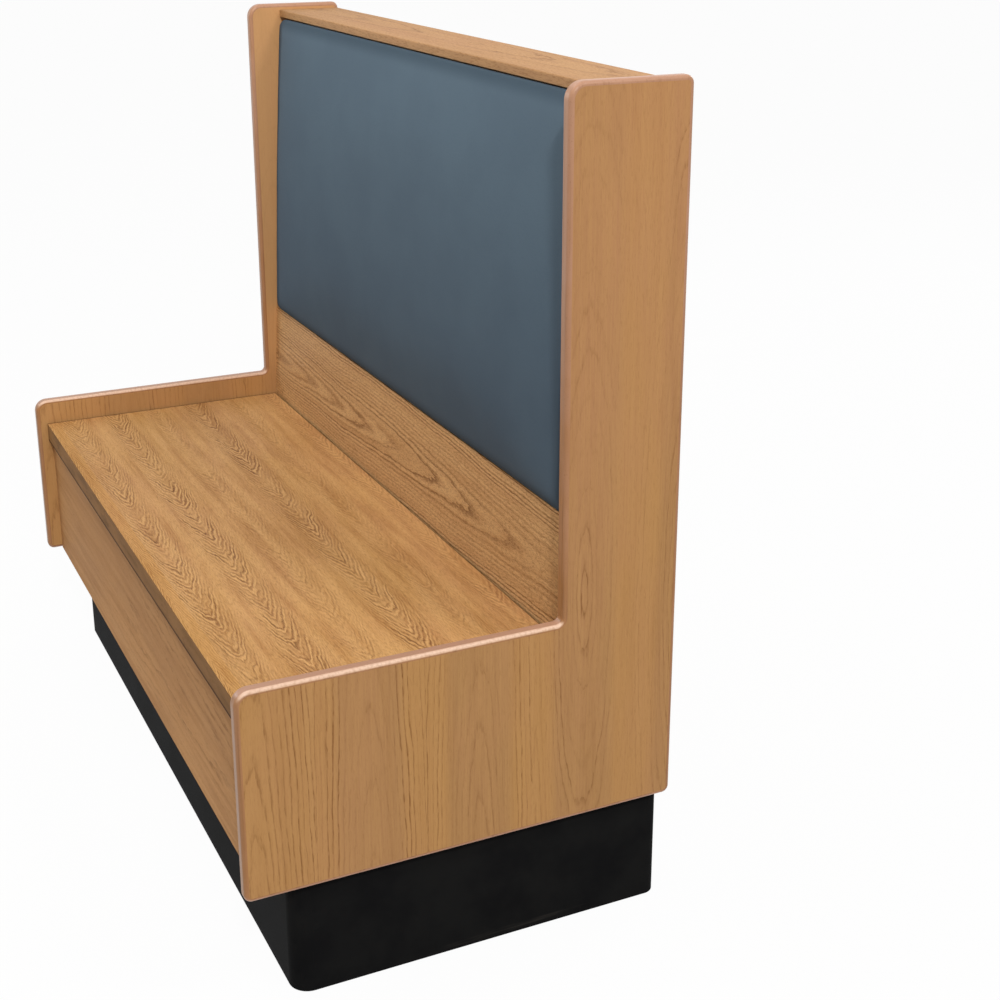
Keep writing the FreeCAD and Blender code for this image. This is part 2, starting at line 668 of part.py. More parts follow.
os.makedirs("parts", exist_ok=True)
for label, thing in nodes.items():
    thing.Shape.exportStep(f"parts/{label}.step")
    print(label, len(thing.Shape.Solids), round(thing.Shape.Volume))
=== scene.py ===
import json
import math
import bpy
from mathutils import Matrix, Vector


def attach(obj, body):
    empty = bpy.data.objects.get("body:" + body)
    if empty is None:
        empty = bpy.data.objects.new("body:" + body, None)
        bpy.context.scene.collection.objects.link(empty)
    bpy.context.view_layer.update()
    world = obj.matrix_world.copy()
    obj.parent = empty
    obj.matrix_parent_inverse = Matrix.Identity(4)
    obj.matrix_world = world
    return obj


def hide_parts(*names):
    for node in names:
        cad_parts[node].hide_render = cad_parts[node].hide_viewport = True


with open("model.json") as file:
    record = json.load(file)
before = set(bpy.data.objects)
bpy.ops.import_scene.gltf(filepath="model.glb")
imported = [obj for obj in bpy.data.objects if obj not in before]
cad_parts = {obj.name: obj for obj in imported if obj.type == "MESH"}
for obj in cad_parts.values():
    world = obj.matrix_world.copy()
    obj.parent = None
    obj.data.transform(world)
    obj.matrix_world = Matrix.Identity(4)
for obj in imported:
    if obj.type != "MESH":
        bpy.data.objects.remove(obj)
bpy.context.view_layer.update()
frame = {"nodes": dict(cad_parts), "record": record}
nodes = frame["nodes"]
scene = bpy.context.scene
scene.view_settings.view_transform = "Standard"
print("frame loaded:", len(nodes), "nodes")


# camera
cameraLook = {
    "spot": (2.2535, -0.7419, 1.3458),  # metres, as are all lengths below
    "turn": (71.3515, 0, 64.4738),  # degrees
    "lens": 58.976,
    "shiftY": -0.08,
    "nearest": 0.05,
}
bpy.ops.object.camera_add(location=cameraLook["spot"],
                          rotation=[math.radians(turn) for turn in cameraLook["turn"]])
camera = bpy.context.object
camera.name = "camera"
camera.data.lens = cameraLook["lens"]
camera.data.shift_y = cameraLook["shiftY"]
camera.data.clip_start = cameraLook["nearest"]
scene.camera = camera
print("camera set")


# One socket of a material's tree, so that shader maths reads as plain expressions.
class Wire:
    def __init__(self, tree, socket):
        self.tree, self.socket = tree, socket

    def node(self, kind, settings, values, output=0):
        made = self.tree.nodes.new("ShaderNode" + kind)
        for name, setting in settings.items():
            setattr(made, name, setting)
        for name, value in values.items():
            if isinstance(value, Wire):
                self.tree.links.new(value.socket, made.inputs[name])
            else:
                made.inputs[name].default_value = value
        return Wire(self.tree, made.outputs[output])

    def maths(self, operation, other=0.0, swap=False):
        first, second = (other, self) if swap else (self, other)
        return self.node("Math", {"operation": operation}, {0: first, 1: second})

    def __add__(self, other):
        return self.maths("ADD", other)

    def __sub__(self, other):
        return self.maths("SUBTRACT", other)

    def __rsub__(self, other):
        return self.maths("SUBTRACT", other, swap=True)

    def __mul__(self, other):
        return self.maths("MULTIPLY", other)

    def __truediv__(self, other):
        return self.maths("DIVIDE", other)

    def __pow__(self, other):
        return self.maths("POWER", other)

    def __abs__(self):
        return self.maths("ABSOLUTE")

    __radd__, __rmul__ = __add__, __mul__

    def fade(self, start, end, low=0.0, high=1.0):  # smooth step from low at start to high at end
        return self.node("MapRange", {"interpolation_type": "SMOOTHSTEP"},
                         {"Value": self, "From Min": start, "From Max": end, "To Min": low, "To Max": high})

    def chance(self):  # a random share for each value
        return self.node("TexWhiteNoise", {"noise_dimensions": "1D"}, {"W": self})

    def noise(self, scale, detail=2.0, roughness=0.5):  # self is a vector
        return self.node("TexNoise", {"noise_dimensions": "3D"},
                         {"Vector": self, "Scale": scale, "Detail": detail, "Roughness": roughness})

    def blend(self, first, second):  # self is the factor between two colours
        return self.node("Mix", {"data_type": "RGBA", "blend_type": "MIX", "clamp_factor": True},
                         {0: self, 6: first, 7: second}, output=2)

    def parts(self):  # of a vector
        return [self.node("SeparateXYZ", {}, {0: self}, output=i) for i in range(3)]

    def facing(self):  # x, y and z of the way that a face looks
        return self.node("NewGeometry", {}, {}, output="Normal").parts()

    def whiteTo(self):  # 1 for the rays of the camera, of a reflection and through glass
        seen, glossy, through = [self.node("LightPath", {}, {}, output=name)
                                 for name in ("Is Camera Ray", "Is Glossy Ray", "Is Transmission Ray")]
        return seen.maths("MAXIMUM", glossy).maths("MAXIMUM", through)


def tone(red, green, blue):  # a display colour from 0 to 255 as a linear one
    def linear(part):
        part /= 255
        return part / 12.92 if part <= 0.04045 else ((part + 0.055) / 1.055) ** 2.4
    return (linear(red), linear(green), linear(blue), 1.0)


def startMaterial(name, **fixed):
    material = bpy.data.materials.new(name)
    material.use_nodes = True
    tree = material.node_tree
    surface = tree.nodes["Principled BSDF"]
    for socket, value in fixed.items():
        surface.inputs[socket].default_value = value
    place = tree.nodes.new("ShaderNodeTexCoord")
    return material, surface, Wire(tree, place.outputs["Object"])


def feed(surface, name, wire):
    wire.tree.links.new(wire.socket, surface.inputs[name])


def setSurface(surface, colour, roughness, height, relief):
    feed(surface, "Base Color", colour)
    feed(surface, "Roughness", roughness)
    feed(surface, "Normal", height.node("Bump", {}, {"Strength": 1.0, "Distance": relief, "Height": height}))


def stretchedNoise(axes, scales, detail=2.0, roughness=0.5):  # with a scale for each axis
    scaled = [axis * scale for axis, scale in zip(axes, scales)]
    return axes[0].node("CombineXYZ", {}, dict(enumerate(scaled))).noise(1.0, detail, roughness)


def ruled(rule, *places):  # a look's rule is a plain value, or a function of the place on the board
    return rule(*places) if callable(rule) else rule


# oak
def oakFigure(place, look):  # returns its colour, roughness and height
    parts = dict(zip("xyz", place.parts()))
    along, across, depth = axes = [parts[axis] for axis in look["axes"]]
    bend = stretchedNoise(axes, look["bendScales"]) - 0.5
    wander = stretchedNoise(axes, look["wanderScales"]) - 0.5
    jag = stretchedNoise(axes, look["jagScales"], 2.5, 0.65) - 0.5
    warp = stretchedNoise(axes, look["warpScales"]) - 0.5

    # Leaves of veneer side by side, each with its rings about its own middle.
    leaves = (across - look["leafStart"]) / look["leafWidth"]
    leaf = leaves.maths("FLOOR")
    chance = (leaf + look["seed"]).chance()
    offCentre = (leaves - leaf - 0.5) * look["leafWidth"] + bend * look["bend"] + wander * look["wander"]
    fromApex = along - ruled(look["apex"], across) - (chance - 0.5) * look["apexSpread"]
    radius = (offCentre ** 2 + (fromApex * ruled(look["tilt"], across)) ** 2) ** 0.5
    phase = radius / look["ringSpacing"] + fromApex * look["march"] + offCentre ** 2 * look["curl"]
    phase = phase + jag * look["jag"] + warp * look["warp"] + chance * look["leafShift"]
    ringNumber = phase.maths("FLOOR")
    ring = phase - ringNumber
    strength = (ringNumber * 1.37 + leaf * 3.1).chance().fade(look["faintRings"], 1.0)  # of each ring
    line = ring.fade(0.0, look["lineWidth"], 1.0, 0.0).maths("MAXIMUM", ring.fade(*look["lineStart"]))
    group = phase.node("TexNoise", {"noise_dimensions": "1D"},
                       {"W": phase * look["groupScale"] + leaf * 9.7, "Scale": 1.0, "Detail": 1.0})
    line = line * group.fade(*look["groups"])

    # Where the figure is strong: by the place in the leaf, along the board, and in broken dashes.
    fromMiddle = abs(offCentre)
    figure = fromMiddle.fade(*look["figureReach"], ruled(look["figureCentre"], across),
                             ruled(look["figureEdge"], across))
    figure = figure * along.fade(*look["calm"])
    if "weights" in look:
        odd = (leaf * 0.5).maths("FRACT").maths("GREATER_THAN", 0.25)
        figure = figure * look["weights"](across, odd)
    figure = figure * stretchedNoise(axes, look["clusterScales"], 2.0, 0.6).fade(*look["clusters"])
    dashes = stretchedNoise(axes, look["dashScales"], 2.0, 0.6).fade(*look["dashes"])
    line = line * strength * figure * dashes
    flank = ring.fade(*look["flankStart"]) * ring.fade(*look["flankEnd"]) * figure * strength

    # Pores, fibres and slow streaks.
    pores = stretchedNoise(axes, look["poreScales"], 1.0).fade(*look["pores"])
    pores = pores * (line * (1 - look["poreShare"]) + look["poreShare"])
    fibre = stretchedNoise(axes, look["fibreScales"], 2.0, 0.6)
    streak = stretchedNoise(axes, look["streakScales"], 3.0, 0.6)
    patch = stretchedNoise(axes, look["patchScales"], 3.0, 0.6)

    brown = fromMiddle.fade(*look["brownReach"], look["brownShare"], 0.0)
    brown = brown * across.fade(*look["brownFrom"])
    blush = patch.fade(*look["patches"]) * look["patch"] + along.fade(*look["blush"])
    colour = brown.blend(look["gold"], look["brown"])
    for share, other in (
        (blush, "warm"),
        (streak.fade(*look["paleStreaks"]) * look["streak"], "light"),
        (streak.fade(*look["deepStreaks"]) * look["streak"], "deep"),
        (fibre.fade(*look["fibres"]) * look["fibre"], "light"),
        (figure * look["haze"], "dark"),
        (flank * look["glow"], "light"),
        (line * look["lineDepth"], "dark"),
        (pores * look["poreDepth"], "pore"),
    ):
        colour = share.blend(colour, look[other])
    # painted light and shade: some looks lighten or darken part of their board
    if "shade" in look:
        colour = look["shade"](along, across, depth).blend(colour, look["shadeTone"])
    if "grime" in look:  # painted shade in the joints and gaps round the board
        colour = look["grime"](along, across).blend(colour, look["grimeTone"])
    roughness = fibre * 0.1 + pores * 0.15 + look["roughness"]
    return colour, roughness, line * -1.0 + pores * -0.6 + fibre * 0.2


def oakMaterial(name, look, topLook):  # topLook is that of the faces that look up, or None
    material, surface, place = startMaterial(name, IOR=look["index"])
    colour, roughness, height = oakFigure(place, look)
    if topLook:
        upward = place.facing()[2].fade(0.5, 0.7)
        topColour, _, topHeight = oakFigure(place, topLook)
        colour = upward.blend(colour, topColour)
        height = upward * topHeight + (1 - upward) * height
    setSurface(surface, colour, roughness, height, look["relief"])
    return material


# A look's axes are those along, across and through its board, and its scales have a number for each.
# Four numbers are a fade: where it starts and ends, and its value there. Two are one from 0 to 1.
oakBase = {
    "axes": "zyx", "roughness": 0.5, "index": 1.26, "relief": 0.0002,
    # leaves of veneer, and what bends their rings
    "leafStart": -0.349, "leafWidth": 0.146, "leafShift": 7, "seed": 3.0,
    "bend": 0.012, "bendScales": (1.8, 5, 5), "wander": 0.005, "wanderScales": (9, 30, 30),
    "jag": 0.9, "jagScales": (16, 90, 40), "warp": 0.6, "warpScales": (7, 25, 20),
    # rings
    "apex": lambda across: across.fade(0.085, 0.095) * 0.46 + 0.02, "apexSpread": 0.02,
    "tilt": lambda across: across.fade(0.085, 0.095) * 0.05 + 0.07,
    "ringSpacing": 0.0066, "march": 0.0, "curl": 0.0,
    "lineStart": (0.9, 1.0), "lineWidth": 0.27,  # shares of a ring, as are its pale flank's
    "flankStart": (0.3, 0.5), "flankEnd": (0.6, 0.88, 1.0, 0.0),
    "faintRings": 0.0, "groupScale": 0.27, "groups": (0.4, 0.58, 0.6, 1.0),
    # where they are strong
    "figureReach": (0.022, 0.05),
    "figureCentre": lambda across: (across.fade(0.085, 0.095) * 0.6
                                    + across.fade(-0.21, -0.195, 0.4, 0.0) + 0.35),
    "figureEdge": lambda across: across.fade(0.17, 0.19, 1.0, 0.3),
    "calm": (0.5, 0.8, 1.0, 0.4), "clusterScales": (3, 18, 5), "clusters": (0.3, 0.55, 0.6, 1.0),
    "dashScales": (55, 260, 300), "dashes": (0.38, 0.56, 0.3, 1.0),
    # pores and streaks
    "poreScales": (110, 1000, 1000), "pores": (0.57, 0.65), "poreShare": 0.25, "poreDepth": 0.45,
    "fibreScales": (9, 420, 420), "fibres": (0.3, 0.7), "fibre": 0.3,
    "streakScales": (2.2, 45, 40), "streak": 0.3,
    "paleStreaks": (0.35, 0.75), "deepStreaks": (0.25, 0.5, 1.0, 0.0),
    "patchScales": (2.6, 11, 11), "patches": (0.3, 0.72), "patch": 0.45, "blush": (0.35, 1.05, 0.0, 0.55),
    # colours
    "brownReach": (0.034, 0.052), "brownShare": 0.75, "brownFrom": (-0.19, -0.175),
    "haze": 0.0, "glow": 0.2, "lineDepth": 1.0,
    "gold": tone(172, 127, 74), "brown": tone(154, 114, 72), "warm": tone(172, 124, 86),
    "light": tone(185, 141, 89), "deep": tone(157, 113, 66), "dark": tone(116, 73, 33),
    "pore": tone(112, 70, 31), "grimeTone": tone(66, 37, 19),
}
evenAlong = {"calm": (-2, -1, 1.0, 1.0), "blush": (-2, -1, 0.0, 0.0)}  # the same all along the board
oakLooks = {
    "oak_panel": {
        "shade": lambda along, across, depth: (along.fade(0.43, 0.5, 0.15, 0.45)
                                               * depth.fade(-0.1, 0.1, 1.0, 0.0)),
        "shadeTone": tone(214, 166, 114),  # painted light: a paler upper left end
    },
    "oak_seat": {
        **evenAlong, "axes": "xyz", "relief": 0.0008,
        "leafStart": -0.19975, "leafWidth": 0.0735,
        "bend": 0.016, "bendScales": (4, 5, 5), "wander": 0.004,
        "jag": 1.9, "jagScales": (34, 110, 40), "warp": 2.4, "warpScales": (16, 25, 20),
        "apex": -2.0, "apexSpread": 0.3, "tilt": 0.0, "ringSpacing": 0.0092, "march": 46.0, "curl": 3400.0,
        "lineWidth": 0.55, "faintRings": -0.4, "groups": (0.4, 0.58, 0.45, 1.0),
        "weights": lambda across, odd: (odd * across.fade(-0.21, -0.19, 0.85, 0.36)
                                        + (1 - odd) * across.fade(0.08, 0.1, 1.0, 0.5)),
        "figureReach": (0.01, 0.03), "figureCentre": 1.0,
        "figureEdge": lambda across: across.fade(-0.264, -0.246, 0.75, 0.2),
        "clusterScales": (9, 18, 5), "clusters": (0.32, 0.48, 0.4, 1.0),
        "dashScales": (60, 170, 300), "dashes": (0.34, 0.52, 0.2, 1.0),
        "poreScales": (90, 1000, 1000), "pores": (0.55, 0.63), "poreShare": 0.5, "poreDepth": 0.5,
        "fibre": 0.4, "streakScales": (5, 60, 40), "streak": 0.8, "patch": 0.8,
        "brownShare": 0.0, "haze": 0.16, "glow": 0.9, "lineDepth": 0.9,
        "gold": tone(187, 139, 80), "warm": tone(180, 128, 86), "light": tone(212, 164, 107),
        "deep": tone(165, 114, 63), "dark": tone(117, 72, 34), "pore": tone(126, 84, 46),
        # painted shade: dark lines in the gaps at the seat's ends and back
        "grime": lambda along, across: (abs(along).fade(0.5845, 0.587, 0.0, 0.68)
                                        .maths("MAXIMUM", across.fade(0.1428, 0.1444, 0.0, 0.72))),
    },
    "oak_back": {
        **evenAlong, "axes": "xzy", "relief": 0.0004,
        "leafStart": 0.3945, "leafWidth": 0.178, "bend": 0.024, "bendScales": (3.2, 5, 5),
        "jag": 0.75, "jagScales": (36, 150, 40), "warp": 0.9, "warpScales": (6, 25, 20),
        "apex": -1.3, "apexSpread": 0.0, "tilt": 0.034, "ringSpacing": 0.0047,
        "lineWidth": 0.4, "faintRings": -0.2, "groups": (0.4, 0.58, 0.45, 1.0),
        "figureReach": (0.0, 0.05), "figureCentre": 0.9, "figureEdge": 1.0,
        "clusters": (0.25, 0.5, 0.7, 1.0), "dashScales": (50, 220, 300), "dashes": (0.3, 0.5, 0.5, 1.0),
        "poreScales": (160, 1000, 1000), "pores": (0.5, 0.58), "poreShare": 0.5, "poreDepth": 0.7,
        "streak": 0.35, "patch": 0.3, "brownShare": 0.0, "glow": 0.6, "lineDepth": 0.95,
        "gold": tone(196, 150, 98), "warm": tone(190, 142, 96), "light": tone(222, 180, 127),
        "deep": tone(178, 131, 82), "dark": tone(120, 78, 41),
    },
    "oak_front": {
        "axes": "xzy", "index": 1.08,
        "leafStart": 0.165, "leafWidth": 0.21, "bend": 0.03,
        "jag": 1.3, "jagScales": (20, 80, 40), "warp": 1.6,
        "apex": -1.0, "tilt": 0.045, "ringSpacing": 0.0105, "lineWidth": 0.45, "faintRings": -0.3,
        "figureReach": (0.02, 0.08), "figureCentre": 1.0, "figureEdge": 0.5,
        "calm": (-0.25, 0.25, 0.25, 1.0), "clusters": (0.4, 0.6, 0.2, 1.0),
        "poreScales": (150, 1000, 1000), "poreDepth": 0.6, "streakScales": (3, 60, 40), "streak": 0.6,
        # painted shade: the front warmer and darker towards its far end
        "patch": 0.6, "blush": (-0.7, 0.3, 0.4, 0.0), "brownShare": 0.0,
        "gold": tone(196, 144, 92), "warm": tone(166, 120, 80), "light": tone(206, 158, 108),
        "deep": tone(170, 122, 74), "dark": tone(122, 82, 46),
        "shade": lambda along, across, depth: across.fade(0.19, 0.37, 0.0, 0.3),
        "shadeTone": tone(146, 102, 62),  # painted shade: darker beneath the nosing
    },
    "oak_nosing": {
        **evenAlong, "axes": "xzy", "index": 1.08,
        "leafStart": 0.36, "leafWidth": 0.06, "jag": 1.6, "jagScales": (40, 90, 40),
        "apex": -2.0, "tilt": 0.05, "ringSpacing": 0.006,
        "figureReach": (0.0, 0.02), "figureCentre": 0.8, "figureEdge": 0.8, "calm": (-0.3, 0.4, 1.0, 0.3),
        "streakScales": (9, 60, 40), "streak": 0.6, "patch": 0.9, "brownShare": 0.0,
        "gold": tone(138, 100, 60), "warm": tone(120, 87, 54), "light": tone(156, 114, 71),
        "deep": tone(108, 76, 43), "dark": tone(68, 45, 24), "pore": tone(76, 49, 25),
        # painted shadow: a dark line along the nosing's lower edge
        "grime": lambda along, across: across.fade(0.3762, 0.3792, 0.8, 0.0),
    },
    "oak_cap": {
        **evenAlong, "axes": "xyz",
        "leafStart": 0.15, "leafWidth": 0.2, "apex": -2.0, "tilt": 0.03,
        "pores": (0.53, 0.61), "poreShare": 0.55, "poreDepth": 0.6,
        "streak": 0.5, "patch": 0.7, "brownShare": 0.0,
        "gold": tone(170, 128, 84), "warm": tone(168, 122, 84), "light": tone(184, 142, 95),
        "deep": tone(154, 110, 69), "dark": tone(124, 83, 48),
    },
    "oak_rear": {
        "axes": "zxy", "leafStart": -0.6, "leafWidth": 0.2, "apex": 0.3, "apexSpread": 0.6,
        "calm": (-2, -1, 0.9, 0.9), "brownFrom": (-2, -1),
    },
}
oakLooks = {name: {**oakBase, **look} for name, look in oakLooks.items()}
topLooks = {"oak_nosing": oakLooks["oak_seat"]}  # the seat's top layer lies over the nosing
materials = {name: oakMaterial(name, look, topLooks.get(name)) for name, look in oakLooks.items()}
print("oak ready:", len(materials), "materials")


# moulded edge strips, with looks as the oak's
mouldingLook = {
    "index": 1.35, "roughness": 0.3, "relief": 0.00005,
    "levelScales": (160, 5, 160), "uprightScales": (160, 160, 5),  # streaks on level and on upright strips
    "streaks": (0.48, 0.72, 0.0, 0.6),
    "cloudScale": 8, "clouds": (0.3, 0.7, 0.0, 0.35),
    "speckScale": 520, "specks": (0.62, 0.75, 0.0, 0.3),
    "roseHeights": (0.5, 0.95, 0.0, 0.5),  # tan on the lower fronts, with more rose above them and on faces that look up: the rose partly its own colour, partly painted sheen
    "wearFrom": (0.43, 0.442), "wearTo": (0.449, 0.455, 1.0, 0.0),  # painted highlight: pale along the arms' edges
    "wearSlope": (0.12, 0.42), "wearScale": 260, "wear": (0.3, 0.6, 0.5, 0.75),
    "underSlope": (-0.7, 0.0, 0.7, 0.0),  # painted light: pale where it faces down
    "rose": tone(177, 134, 109), "tan": tone(158, 109, 64), "speck": tone(124, 84, 50),
    "rubbed": tone(236, 202, 176), "under": tone(206, 162, 142),
}


def mouldingMaterial(look):
    material, surface, place = startMaterial("edge_moulding", IOR=look["index"])
    axes = place.parts()
    height = axes[2]
    sideways, _, rising = place.facing()
    level = abs(rising).fade(0.5, 0.8)
    streak = (level * stretchedNoise(axes, look["levelScales"], 3.0, 0.6)
              + (1 - level) * stretchedNoise(axes, look["uprightScales"], 3.0, 0.6))
    cloud = place.noise(look["cloudScale"], 3.0, 0.6)
    speck = place.noise(look["speckScale"], 1.0)
    # rose higher up and where it faces up: partly its own colour, partly painted sheen
    high = height.fade(*look["roseHeights"]).maths("MAXIMUM", level * 0.9)
    colour = (cloud.fade(*look["clouds"]) + high).blend(look["tan"], look["rose"])
    colour = (streak.fade(*look["streaks"]) * (1 - high)).blend(colour, look["speck"])
    colour = speck.fade(*look["specks"]).blend(colour, look["speck"])
    # painted highlight along the arms' rounded edges, broken up by noise
    alongArms = height.fade(*look["wearFrom"]) * height.fade(*look["wearTo"])
    rubbed = (sideways * rising).fade(*look["wearSlope"]) * alongArms
    rubbed = rubbed * place.noise(look["wearScale"]).fade(*look["wear"])
    colour = rubbed.blend(colour, look["rubbed"])
    # painted light: paler where the strip faces down
    colour = rising.fade(*look["underSlope"]).blend(colour, look["under"])
    setSurface(surface, colour, cloud * 0.08 + look["roughness"], speck + streak, look["relief"])
    return material


# the pad's vinyl
vinylLook = {
    "index": 1.18, "roughness": 0.7, "relief": 0.00012,
    "cellScale": 620.0, "creaseWidth": 0.12, "creaseShare": 0.25, "fineScale": 1400,
    "cloudScale": 7, "clouds": (0.3, 0.7, 0.0, 0.3),
    "paleHeights": (0.62, 1.07, 0.0, 0.8),  # painted light: paler towards the shoulders
    "middle": 0.8335,  # its height
    "dirtSides": (0.545, 0.556, 0.0, 0.6), "dirtEnds": (0.236, 0.259, 0.0, 0.6),  # painted shade at its sides and ends; how far from its middle
    "slate": tone(75, 90, 104), "pale": tone(90, 107, 120),
    "crease": tone(62, 78, 92), "dirt": tone(46, 60, 71),
}


def vinylMaterial(look):
    material, surface, place = startMaterial("back_vinyl", IOR=look["index"])
    x, _, z = place.parts()
    cells = place.node("TexVoronoi", {"feature": "DISTANCE_TO_EDGE"},
                       {"Vector": place, "Scale": look["cellScale"], "Randomness": 1.0})
    creases = cells.fade(0.0, look["creaseWidth"])
    cloud = place.noise(look["cloudScale"], 3.0, 0.55)
    fine = place.noise(look["fineScale"], 1.0)
    # painted light: paler higher up, over a random mottle
    paintedLightAndMottle = z.fade(*look["paleHeights"]) + cloud.fade(*look["clouds"])
    colour = paintedLightAndMottle.blend(look["slate"], look["pale"])
    colour = creases.fade(0.0, 1.0, look["creaseShare"], 0.0).blend(colour, look["crease"])
    # painted shade: darker at its sides, top and bottom
    dirt = abs(x).fade(*look["dirtSides"]).maths("MAXIMUM", abs(z - look["middle"]).fade(*look["dirtEnds"]))
    colour = dirt.blend(colour, look["dirt"])
    roughness = cloud * 0.1 + fine * 0.06 + look["roughness"]
    setSurface(surface, colour, roughness, creases + fine * 0.3, look["relief"])
    return material


# the black wrap of the base
wrapLook = {
    "index": 1.04, "roughness": 0.36, "relief": 0.00008,
    "cloudScale": 14, "clouds": (0.3, 0.7), "grainScale": 1100,
    "scuffScales": (3, 3, 60), "scuffs": (0.6, 0.8, 0.0, 0.5), "scuffHeights": (0.0, 0.03, 1.0, 0.0),
    "black": tone(20, 20, 21), "grey": tone(26, 26, 26), "scuff": tone(70, 66, 62),
}


def wrapMaterial(look):
    material, surface, place = startMaterial("black_wrap", IOR=look["index"])
    axes = place.parts()
    cloud = place.noise(look["cloudScale"], 3.0, 0.6)
    grain = place.noise(look["grainScale"], 1.0)
    scuff = stretchedNoise(axes, look["scuffScales"], 4.0, 0.7)
    low = axes[2].fade(*look["scuffHeights"])
    colour = cloud.fade(*look["clouds"]).blend(look["black"], look["grey"])
    colour = (scuff.fade(*look["scuffs"]) * low).blend(colour, look["scuff"])
    roughness = cloud * 0.15 + grain * 0.1 + look["roughness"]
    setSurface(surface, colour, roughness, grain + cloud * 3, look["relief"])
    return material


# birch plywood: plain faces, and the layers where the edges show
plyLook = {
    "index": 1.45, "roughness": 0.5, "relief": 0.0002,
    "layerPair": 0.003, "layer": 0.0015, "glueLine": (0.0, 0.12, 0.6, 0.0),
    "streakScales": (3, 90, 500), "streaks": (0.35, 0.65),
    "face": tone(208, 176, 132), "streak": tone(196, 160, 114),
    "layerPale": tone(186, 148, 104), "layerDark": tone(150, 110, 72), "glue": tone(92, 62, 40),
    "through": {  # the axis through each board, by how its name starts
        "seat_rib": "x", "back_rib": "x", "base_end": "x", "base_cross": "x",
        "base_front": "y", "base_rear": "y", "back_pad_board": "y", "bottom_deck": "z",
    },
}


def plyMaterial(look, through):
    material, surface, place = startMaterial("plywood_" + through, IOR=look["index"])
    axes = place.parts()
    axis = axes.pop("xyz".index(through))
    onFace = abs(place.facing()["xyz".index(through)]).fade(0.5, 0.7)
    layers = (axis / look["layerPair"]).maths("FRACT").maths("GREATER_THAN", 0.5)
    glue = (axis / look["layer"]).maths("FRACT").fade(*look["glueLine"])
    streak = stretchedNoise([*axes, axis], look["streakScales"], 3.0, 0.6)
    face = streak.fade(*look["streaks"]).blend(look["face"], look["streak"])
    edge = glue.blend(layers.blend(look["layerPale"], look["layerDark"]), look["glue"])
    setSurface(surface, onFace.blend(edge, face), streak * 0.2 + look["roughness"], streak, look["relief"])
    return material


# softwood, with the grain along x
softwoodLook = {
    "index": 1.45, "roughness": 0.5, "relief": 0.0002,
    "ringScales": (2, 55, 55), "rings": 14, "ringWidth": (0.2, 1.0),
    "streakScales": (8, 300, 300), "streaks": (0.4, 0.7, 0.0, 0.4),
    "pale": tone(222, 190, 140), "ring": tone(196, 150, 98), "streak": tone(212, 172, 120),
}


def softwoodMaterial(look):
    material, surface, place = startMaterial("softwood", IOR=look["index"])
    axes = place.parts()
    rings = (stretchedNoise(axes, look["ringScales"]) * look["rings"]).maths("FRACT")
    streak = stretchedNoise(axes, look["streakScales"])
    colour = rings.fade(*look["ringWidth"]).blend(look["pale"], look["ring"])
    colour = streak.fade(*look["streaks"]).blend(colour, look["streak"])
    setSurface(surface, colour, streak * 0.2 + look["roughness"], streak + rings * 0.3, look["relief"])
    return material


# plated steel
steelLook = {
    "roughness": 0.25, "relief": 0.00005, "spangleScale": 260.0, "scratchScale": 500,
    "shades": {"bracket_steel": 176, "screw_steel": 168},
    "spangle": 22,  # how much paler than its shade the palest spangles are
}


def steelMaterial(look, name):
    material, surface, place = startMaterial(name, Metallic=1.0)
    shade = look["shades"][name]
    spangle = place.node("TexVoronoi", {}, {"Vector": place, "Scale": look["spangleScale"]}, output="Color")
    grey = spangle.node("SeparateColor", {}, {0: spangle})
    scratches = place.noise(look["scratchScale"], 3.0, 0.7)
    pale = shade + look["spangle"]
    colour = grey.blend(tone(shade, shade, shade + 2), tone(pale, pale, pale - 2))
    setSurface(surface, colour, scratches * 0.25 + look["roughness"], scratches, look["relief"])
    return material


materials["edge_moulding"] = mouldingMaterial(mouldingLook)
materials["back_vinyl"] = vinylMaterial(vinylLook)
materials["black_wrap"] = wrapMaterial(wrapLook)
materials["softwood"] = softwoodMaterial(softwoodLook)
for name in steelLook["shades"]:
    materials[name] = steelMaterial(steelLook, name)
for through in "xyz":
    materials["plywood_" + through] = plyMaterial(plyLook, through)

for entry in frame["record"]["subparts"]:
    piece, slot = entry["node"], entry["material_slot"]
    if slot == "plywood":
        slot += "_" + next(axis for start, axis in plyLook["through"].items() if piece.startswith(start))
    nodes[piece].data.materials.clear()
    nodes[piece].data.materials.append(materials[slot])
print("materials on", len(nodes), "nodes")


# The upholstered cover: the frame's pad with drawn-in edges, blown up against its board.
padLook = {
    "weld": 0.00005,
    "voxel": 0.008,
    "rounding": 13,  # smoothing steps of its edges and corners
    "pressure": 3.5,
    "steps": 20,  # of the cloth
    "swell": 0.009,  # how far its middle swells
    "held": 0.007,  # what stands less than this off the board stays on it
    "halfWidth": 0.5888,
    "low": 0.5732, "high": 1.0938,
    "seatHeight": 0.406, "boardY": 0.1505,  # where its board would lie at the seat's height
    "lean": 0.054,
}
bpy.ops.object.select_all(action="DESELECT")
cover = bpy.data.objects.new("backCover", nodes["back_cushion"].data.copy())
scene.collection.objects.link(cover)
bpy.context.view_layer.objects.active = cover
cover.select_set(True)
bpy.ops.object.mode_set(mode="EDIT")
bpy.ops.mesh.select_all(action="SELECT")
bpy.ops.mesh.remove_doubles(threshold=padLook["weld"])
bpy.ops.object.mode_set(mode="OBJECT")
cover.data.remesh_voxel_size = padLook["voxel"]
bpy.ops.object.voxel_remesh()
rounding = cover.modifiers.new("rounding", "SMOOTH")
rounding.factor, rounding.iterations = 0.5, padLook["rounding"]
bpy.ops.object.modifier_apply(modifier="rounding")


def offBoard(point):  # how far a point stands in front of the pad's board
    return padLook["boardY"] + padLook["lean"] * (point.z - padLook["seatHeight"]) - point.y


